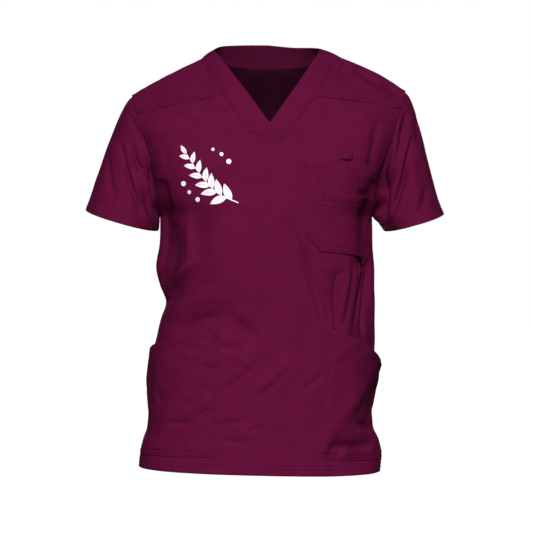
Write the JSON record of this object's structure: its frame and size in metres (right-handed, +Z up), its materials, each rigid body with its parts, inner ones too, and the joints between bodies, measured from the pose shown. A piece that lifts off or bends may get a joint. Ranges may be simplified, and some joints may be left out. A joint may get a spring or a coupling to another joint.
{
  "type": "medical scrub top",
  "caption": "Short-sleeved V-neck medical scrub top, filled out as worn and hollow, with a layered chest pocket, a tape loop and slanted hip pockets.",
  "frame": {"origin": "middle of the neck opening, level with the two highest points of the shoulders, where the wearer's shoulders hold the top up", "axes": "+Z up along the wearer's body, -Y the way the front faces, +X to the wearer's left"},
  "size_m": [0.611, 0.2316, 0.729],
  "materials": {
    "cloth": "matt burgundy twill of cotton and polyester"
  },
  "bodies": {
    "root": {"front": "cloth", "back": "cloth", "yoke_left": "cloth", "yoke_right": "cloth", "sleeve_left": "cloth", "sleeve_right": "cloth", "neckband": "cloth", "chest_pocket": "cloth", "chest_pocket_front": "cloth", "pocket_loop": "cloth", "hip_pocket_left": "cloth", "hip_pocket_right": "cloth"}
  },
  "joints": []
}
